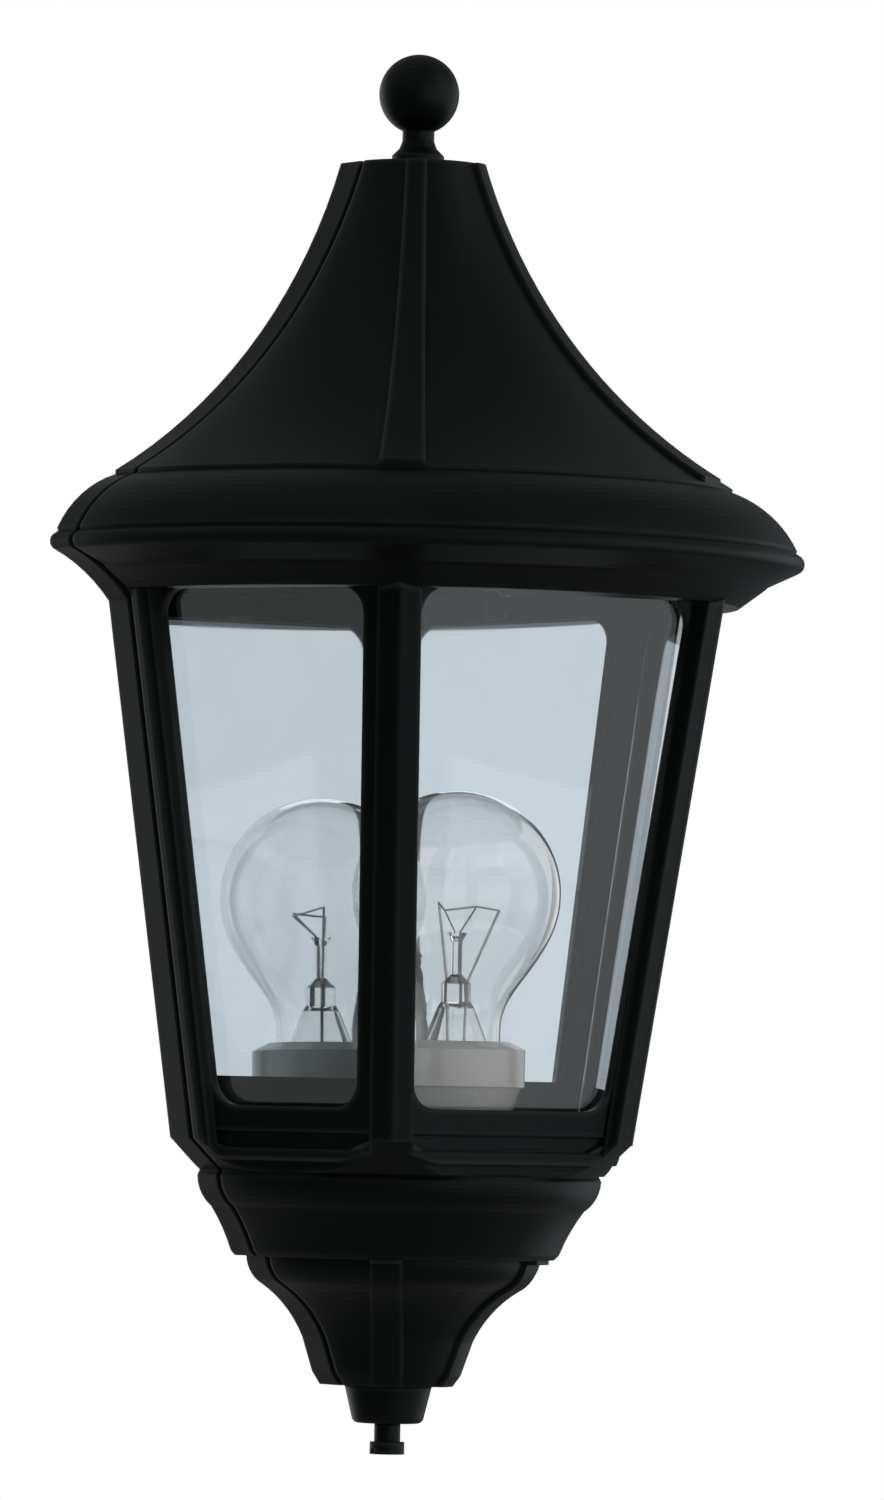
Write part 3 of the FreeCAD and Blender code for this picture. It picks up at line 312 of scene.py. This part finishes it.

# %% The dielectrics of the lamp
# painted shade: these colours are darker than the holder's own off-white, for the shade inside the
# lantern
porcelain = moulded("glazed_porcelain", light=(0.62, 0.615, 0.595), dark=(0.55, 0.545, 0.525),
                    smooth=0.16, rough=0.28, size=0.012)
insulator = moulded("cap_insulator", light=(0.018, 0.015, 0.014), dark=(0.03, 0.025, 0.022),
                    smooth=0.20, rough=0.32, size=0.004)
block_plastic = moulded("pale_block_plastic", light=(0.72, 0.71, 0.67), dark=(0.64, 0.63, 0.60),
                        smooth=0.34, rough=0.48, size=0.006)
sleeve = moulded("dull_lead_sleeve", light=(0.62, 0.61, 0.57), dark=(0.50, 0.49, 0.46),
                 smooth=0.50, rough=0.66, size=0.002, relief=0.00008)
rubber = moulded("grommet_rubber", light=(0.022, 0.022, 0.022), dark=(0.035, 0.035, 0.035),
                 smooth=0.60, rough=0.78, size=0.003, relief=0.00005)
print("dielectrics", porcelain.name, insulator.name, block_plastic.name, sleeve.name, rubber.name)

# %% [markdown]
# ## Dressing the pieces
# Each solid of the frame takes one finish. The record groups the solids into material slots, so
# a dictionary from slot to finish dresses nearly the whole lamp. Only the screws of the roof
# and the mirror differ from their slot, which is zinc: they are blackened, so that no bright
# heads show inside the lantern.

# %% One finish for each material slot
finish_of_slot = {
    "body_paint": paint,
    "reflector": polished,
    "pane_glass": pane_glass,
    "bulb_glass": bulb_glass,
    "porcelain": porcelain,
    "zinc_steel": zinc,
    "clip_steel": blackened,
    "brass": brass,
    "cap_metal": tinned,
    "insulator": insulator,
    "block_plastic": block_plastic,
    "lead_sleeve": sleeve,
    "rubber": rubber,
    "filament_wire": tungsten,
}
finish_of_node = {"roof_screws": blackened, "mirror_screws": blackened}
for piece in frame["record"]["subparts"]:
    mesh = nodes[piece["node"]].data
    mesh.materials.clear()
    slot_finish = finish_of_slot[piece["material_slot"]]
    mesh.materials.append(finish_of_node.get(piece["node"], slot_finish))

# %% [markdown]
# ## Floor
# The lamp hangs on a wall, so the floor lies well below it, out of this camera's view. Views
# from above show it. A pale floor would also throw light up at the black paint. The Light Path
# node tells rays apart, so the floor is pale to the camera and through glass, and grey to all
# other rays.

# %% Floor
FLOOR_DROP = 0.35
FLOOR_REACH = 0.9
FLOOR_SIDES = 96
FLOOR_PALE = (0.86, 0.86, 0.86, 1.0)
FLOOR_CLOUD = (0.84, 0.84, 0.84, 1.0)
FLOOR_GREY = (0.22, 0.22, 0.22, 1.0)
FLOOR_GRAIN = 0.2
FLOOR_ROUGHNESS = 0.9

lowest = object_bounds()[0].z
bpy.ops.mesh.primitive_circle_add(vertices=FLOOR_SIDES, radius=FLOOR_REACH, fill_type="NGON",
                                  location=(0, 0, lowest - FLOOR_DROP))
floor = bpy.context.object
floor.name = "studio_floor"
floor_finish, floor_tree, floor_shader = new_finish("studio_white", roughness=FLOOR_ROUGHNESS)
from_camera = Signal(floor_tree).node("ShaderNodeLightPath", out="Is Camera Ray")
from_glass = Signal(floor_tree).node("ShaderNodeLightPath", out="Is Transmission Ray")
shown = (from_camera + from_glass).ramped(0.0, 1.0)
pale = grain(floor_tree, FLOOR_GRAIN).mixed(FLOOR_CLOUD, FLOOR_PALE)
feed(floor_tree, floor_shader.inputs["Base Color"], shown.mixed(FLOOR_GREY, pale))
floor.data.materials.append(floor_finish)
print("floor at", round(floor.location.z, 3))

# %% [markdown]
# ## A white studio that keeps black paint black
# The lamp is shown alone on white. The easy way is a white world, but the eye sees black paint
# only by what it reflects, and in a white room it turns grey. So this world, too, answers each
# kind of ray in its own way. A dot product says how far a ray runs along a direction, and each
# answer is a few colours laid over each other along such directions.

# %% Directions in the world
BEHIND = (0.0, 1.0, 0.0)
UP = (0.0, 0.0, 1.0)
DOWN = (0.0, 0.0, -1.0)

world = bpy.data.worlds.new("studio_world")
bpy.context.scene.world = world
world.use_nodes = True
world_start = Signal(world.node_tree)
way = world_start.node("ShaderNodeTexCoord", out="Generated")


def along(direction):
    """How far a ray of the world runs along a direction, from -1 to 1."""
    return world_start.node("ShaderNodeVectorMath", {"operation": "DOT_PRODUCT"},
                            {0: way, 1: direction}, out="Value")


print("world", world.name)

# %% [markdown]
# ## What reflections see
# A photographer lights black paint from one side and keeps the rest of the room dark.
# Reflections here see the same: one pale side, in front and to the right of the lamp, white
# straight behind it, dim above and dark below.

# %% The studio in reflections
PALE_AZIMUTH = math.radians(48.0)
PALE_WAY = (math.sin(PALE_AZIMUTH), -math.cos(PALE_AZIMUTH), 0.0)
PALE_SIDE = (0.82, 0.90, 0.96, 1.0)
PALE_RANGE = (0.1, 0.75)
DARK_SIDE = (0.10, 0.12, 0.125, 1.0)
BEHIND_RANGE = (0.7, 1.0)
DIM_ABOVE = (0.17, 0.185, 0.18, 1.0)
ABOVE_RANGE = (0.1, 0.5)
DARK_BELOW = (0.05, 0.055, 0.055, 1.0)
BELOW_RANGE = (0.25, 0.55)

reflected = along(PALE_WAY).ramped(*PALE_RANGE).mixed(DARK_SIDE, PALE_SIDE)
reflected = along(BEHIND).ramped(*BEHIND_RANGE).mixed(reflected, WHITE)
reflected = along(UP).ramped(*ABOVE_RANGE).mixed(reflected, DIM_ABOVE)
reflected = along(DOWN).ramped(*BELOW_RANGE).mixed(reflected, DARK_BELOW)
print("pale side at", round(math.degrees(PALE_AZIMUTH)), "degrees")

# %% [markdown]
# ## What the other rays see
# Rays straight from the camera see plain white. Rays through glass see white too, which fades
# to dark below the horizon. All other rays only carry light to the lamp: for them the world is
# bright above and dark below. A ray through glass counts as a glossy one as well, so glass is
# laid over gloss, and the camera comes last.

# %% One answer for each kind of ray
ROOM_SHADE = (0.12, 0.12, 0.12, 1.0)
ROOM_RANGE = (-0.9, 0.9)
HORIZON_RANGE = (-0.45, -0.05)

lit = along(UP).ramped(*ROOM_RANGE).mixed(ROOM_SHADE, WHITE)
through = along(UP).ramped(*HORIZON_RANGE).mixed(DARK_BELOW, WHITE)
is_gloss = world_start.node("ShaderNodeLightPath", out="Is Glossy Ray")
is_glass = world_start.node("ShaderNodeLightPath", out="Is Transmission Ray")
is_camera = world_start.node("ShaderNodeLightPath", out="Is Camera Ray")
answer = is_gloss.mixed(lit, reflected)
answer = is_glass.mixed(answer, through)
answer = is_camera.mixed(answer, WHITE)
feed(world.node_tree, world.node_tree.nodes["Background"].inputs["Color"], answer)
print("nodes in the world", len(world.node_tree.nodes))

# %% [markdown]
# ## Soft lamp
# One large soft lamp, high on the right, models the ball and the curves of the roof. A small
# one would leave a hard bright spot on the satin paint, so it is a disc two metres wide.

# %% Soft lamp
LAMP_PLACE = Vector((1.6, -1.8, 1.5))
LAMP_AIM = Vector((0.0, -0.05, 0.05))
LAMP_SIZE = 2.0
LAMP_POWER = 6.5

lamp_data = bpy.data.lights.new("key_lamp", "AREA")
lamp_data.shape = "DISK"
lamp_data.size = LAMP_SIZE
lamp_data.energy = LAMP_POWER
lamp = bpy.data.objects.new("key_lamp", lamp_data)
lamp.location = LAMP_PLACE
lamp.rotation_euler = (LAMP_AIM - LAMP_PLACE).to_track_quat("-Z", "Y").to_euler()
bpy.context.collection.objects.link(lamp)
print("lamp", lamp.name, "is", round((LAMP_AIM - LAMP_PLACE).length, 2), "m away")

# %% [markdown]
# ## Camera
# The lamp is seen from the left, a little below its middle, through a long lens. The camera's
# place, aim and roll were fitted to the outline of the body, to the bulb and to the bulb's
# image in the mirror. Four angles, a distance and a height say it most plainly, so the
# camera's axes are worked out from them.

# %% Where the camera stands and looks
CAMERA_AZIMUTH = math.radians(-32.9477)
CAMERA_DISTANCE = 2.854938
CAMERA_HEIGHT = -0.055448
AIM_AZIMUTH = math.radians(33.2976)
AIM_TILT = math.radians(1.9695)
ROLL = math.radians(1.15)

place = Vector((CAMERA_DISTANCE * math.sin(CAMERA_AZIMUTH),
                -CAMERA_DISTANCE * math.cos(CAMERA_AZIMUTH),
                CAMERA_HEIGHT))
forward = Vector((math.sin(AIM_AZIMUTH) * math.cos(AIM_TILT),
                  math.cos(AIM_AZIMUTH) * math.cos(AIM_TILT),
                  math.sin(AIM_TILT)))
right = Vector((math.cos(AIM_AZIMUTH), -math.sin(AIM_AZIMUTH), 0.0))
up = right.cross(forward)
across = right * math.cos(ROLL) + up * math.sin(ROLL)
upright = up * math.cos(ROLL) - right * math.sin(ROLL)
print("camera at", [round(v, 3) for v in place])

# %% Camera
LENS = 232.343
SENSOR = 36.0

camera_data = bpy.data.cameras.new("camera")
camera_data.sensor_width = SENSOR
camera_data.lens = LENS
camera = bpy.data.objects.new("camera", camera_data)
bpy.context.collection.objects.link(camera)
turn = Matrix((across, upright, -forward)).transposed().to_4x4()
camera.matrix_world = Matrix.Translation(place) @ turn
bpy.context.scene.camera = camera
bpy.context.scene.view_settings.view_transform = "Standard"
print("lens of", round(LENS), "mm")

# %% [markdown]
# ## Sizes
# Finishes must not change the lamp's size.

# %% Sizes
print("scene dressed")
